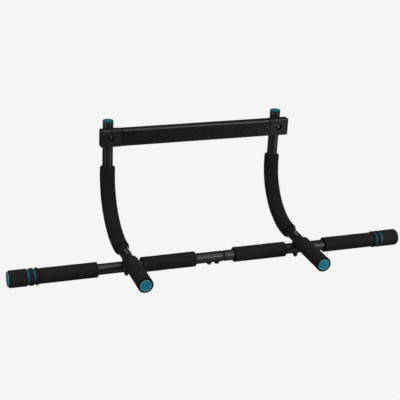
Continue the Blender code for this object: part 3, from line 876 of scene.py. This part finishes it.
def make_pad():
    """The pad: a rounded section along X, softly rounded at its ends, over the beam."""
    half = CROSS_HIGH.x
    depth = (CROSS_HIGH.y - CROSS_LOW.y) / 2
    height = (CROSS_HIGH.z - CROSS_LOW.z) / 2
    corner = 4.6 * MM
    edge = 1.0 * MM
    beam_low, beam_high, beam_middle = box("crossbar_beam")
    room_depth = (beam_high.y - beam_low.y) / 2 + GAP
    room_height = (beam_high.z - beam_low.z) / 2 + GAP
    rings = []
    for step in range(ARC_STEPS + 1):
        angle = QUARTER * step / ARC_STEPS
        inset = edge * (1 - math.sin(angle))
        end = -half + edge * (1 - math.cos(angle))
        rings.append((end, depth - inset, height - inset, corner - inset / 2))
    count = 60
    for step in range(1, count):
        rings.append((-half + edge + (2 * half - 2 * edge) * step / count, depth, height, corner))
    rings += [(-x, y, z, r) for x, y, z, r in reversed(rings[:ARC_STEPS + 1])]
    middles = [CROSS_MIDDLE.y] * len(rings) + [beam_middle.y] * 2
    rings += [(half, room_depth, room_height, 0.5 * MM), (-half, room_depth, room_height, 0.5 * MM)]
    bm = bmesh.new()
    rows = []
    for (x, y, z, r), middle_y in zip(rings, middles):
        rows.append([bm.verts.new((x, middle_y + p.x, CROSS_MIDDLE.z + p.y)) for p in section_ring(y, z, r)])
    for low, high in zip(rows, rows[1:] + rows[:1]):
        for i in range(len(low)):
            j = (i + 1) % len(low)
            bm.faces.new([low[i], low[j], high[j], high[i]])
    piece = finish_mesh("crossbar_pad_look", bm, PAD, 40)
    stand_in(piece)


def make_blocks():
    """The end blocks: bevelled boxes with a counterbore in front and a cradle for the upright behind."""
    beam_low, beam_high, beam_middle = box("crossbar_beam")
    bevel = 2.6 * MM
    for side, word in SIDES:
        low, high, middle = box("crossbar_end_" + word)
        bm = bmesh.new()
        bmesh.ops.create_cube(bm, size=1.0)
        size = Matrix.Diagonal((*(high - low), 1.0))
        bmesh.ops.transform(bm, matrix=Matrix.Translation(middle) @ size, verts=bm.verts)
        bmesh.ops.bevel(bm, geom=bm.edges, offset=bevel, segments=6, profile=0.5, affect='EDGES')
        block = finish_mesh(f"crossbar_end_{word}_look", bm, BLOCK)
        room = bmesh.new()
        bmesh.ops.create_cube(room, size=1.0)
        grow = Vector((GAP, GAP, GAP)) * 2
        size = Matrix.Diagonal((*(beam_high - beam_low + grow), 1.0))
        bmesh.ops.transform(room, matrix=Matrix.Translation(beam_middle) @ size, verts=room.verts)
        room_cutter = finish_mesh("beam_room", room, BLOCK)
        x = side * ARM_X
        front = low.y
        mouth = 7.6 * MM
        lip = 0.5 * MM
        above = 2 * MM
        floor_depth = beam_low.y - front
        recess = rounded([(-above, 0, 0), (-above, mouth + above + lip, 0), (lip, mouth, 0.4 * MM),
                          (floor_depth, mouth, 0), (floor_depth, 0, 0)], closed=False)
        counterbore = turned("counterbore", recess, straight((x, front, CROSS_MIDDLE.z), Y_AXIS, X_AXIS),
                             BLOCK, closed=False, steps=64)
        cradle = drill((x, UPRIGHT_Y, CROSS_MIDDLE.z), Z_AXIS, THROUGH, SLIP_R)
        hole = drill((x, 0, CROSS_MIDDLE.z), Y_AXIS, THROUGH)
        cut_with(block, [room_cutter, counterbore, cradle, hole])
        paint_bore_shade(block, Vector((x, front, CROSS_MIDDLE.z)), mouth, floor_depth)
        weighted = block.modifiers.new("Faces", 'WEIGHTED_NORMAL')
        weighted.keep_sharp = True
        stand_in(block)


def paint_bore_shade(block, centre, mouth, depth):
    """The counterbore's wall and floor take a darker material than the block: painted shade in the recess.
    """
    block.data.materials.append(BORE_SHADE)
    for face in block.data.polygons:
        away = face.center - centre
        across = math.hypot(away.x, away.z)
        if 0.3 * MM < away.y < depth + GAP and across < mouth + 0.1 * MM:
            face.material_index = 1


def paint_hidden_nodes():
    """The beam and the weld nuts stay as the CAD has them, inside the mouldings and the spigot."""
    for name, material in (("crossbar_beam", POWDER), ("joint_nut_left", ZINC), ("joint_nut_right", ZINC)):
        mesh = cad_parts[name].data
        mesh.materials.clear()
        mesh.materials.append(material)


# ---------------------------------------------------------------- stage

def make_floor():
    """A pale floor well below the bar, which lights itself and nothing else."""
    half = 60.0
    drop = 1.3
    bm = bmesh.new()
    bmesh.ops.create_grid(bm, x_segments=1, y_segments=1, size=half)
    mesh = bpy.data.meshes.new("floor")
    bm.to_mesh(mesh)
    bm.free()
    floor = bpy.data.objects.new("floor", mesh)
    floor.location = (0, 0, CAD_LOW.z - drop)
    bpy.context.scene.collection.objects.link(floor)
    material, tree, shader = new_material("studio_floor")
    shader.inputs["Base Color"].default_value = (0, 0, 0, 1)
    shader.inputs["Roughness"].default_value = 1.0
    shader.inputs["Specular IOR Level"].default_value = 0
    shader.inputs["Emission Color"].default_value = (1, 1, 1, 1)
    shader.inputs["Emission Strength"].default_value = PALE
    mesh.materials.append(material)
    floor.visible_diffuse = False
    floor.visible_glossy = False


def make_world(strength):
    """The backdrop is as pale as the floor, and lights the bar only a little."""
    world = bpy.data.worlds.new("studio")
    world.use_nodes = True
    tree = world.node_tree
    background = tree.nodes["Background"]
    background.inputs["Color"].default_value = (1, 1, 1, 1)
    seen = shader_node(tree, "ShaderNodeLightPath").outputs["Is Camera Ray"]
    tree.links.new(ranged(tree, seen, strength, PALE, 0, 1), background.inputs["Strength"])
    bpy.context.scene.world = world


def make_softbox(name, azimuth, elevation, distance, width, height, radiance):
    """A rectangular area light that looks at the bar. Azimuth 0 is the front, and 90 the right."""
    aim = Vector((0, BAR_Y / 2, BAR_Z / 2))
    turn = math.radians(azimuth)
    rise = math.radians(elevation)
    away = Vector((math.sin(turn) * math.cos(rise), -math.cos(turn) * math.cos(rise), math.sin(rise)))
    data = bpy.data.lights.new(name, 'AREA')
    data.shape = 'RECTANGLE'
    data.size = width
    data.size_y = height
    data.energy = radiance * math.pi * width * height
    light = bpy.data.objects.new(name, data)
    light.location = aim + away * distance
    light.rotation_mode = 'QUATERNION'
    light.rotation_quaternion = away.to_track_quat('Z', 'Y')
    bpy.context.scene.collection.objects.link(light)


def make_camera():
    """The camera stands in front of the bar, to its left and above it, and is rolled by 3 degrees."""
    azimuth = math.radians(20.51)
    elevation = math.radians(22.46)
    roll = math.radians(-2.91)
    distance = 2.410
    aim = Vector((-0.0107, BAR_Y + 0.080, BAR_Z + 0.1104))
    forward = Vector((math.sin(azimuth) * math.cos(elevation), math.cos(azimuth) * math.cos(elevation),
                      -math.sin(elevation)))
    level = Vector((math.cos(azimuth), -math.sin(azimuth), 0))
    raised = level.cross(forward)
    right = math.cos(roll) * level - math.sin(roll) * raised
    up = math.sin(roll) * level + math.cos(roll) * raised
    data = bpy.data.cameras.new("camera")
    data.sensor_width = 36.0
    data.lens = 93.0
    camera = bpy.data.objects.new("camera", data)
    turn = Matrix((right, up, -forward)).transposed().to_4x4()
    camera.matrix_world = Matrix.Translation(aim - forward * distance) @ turn
    bpy.context.scene.collection.objects.link(camera)
    bpy.context.scene.camera = camera


make_camera()
make_main_tubes()
make_arms()
make_bar_foam()
make_bumpers()
make_caps()
make_fasteners()
make_pad()
make_blocks()
paint_hidden_nodes()
make_floor()
make_world(WORLD_LIGHT)
for softbox in SOFTBOXES:
    make_softbox(*softbox)
bpy.context.scene.view_settings.view_transform = 'Standard'
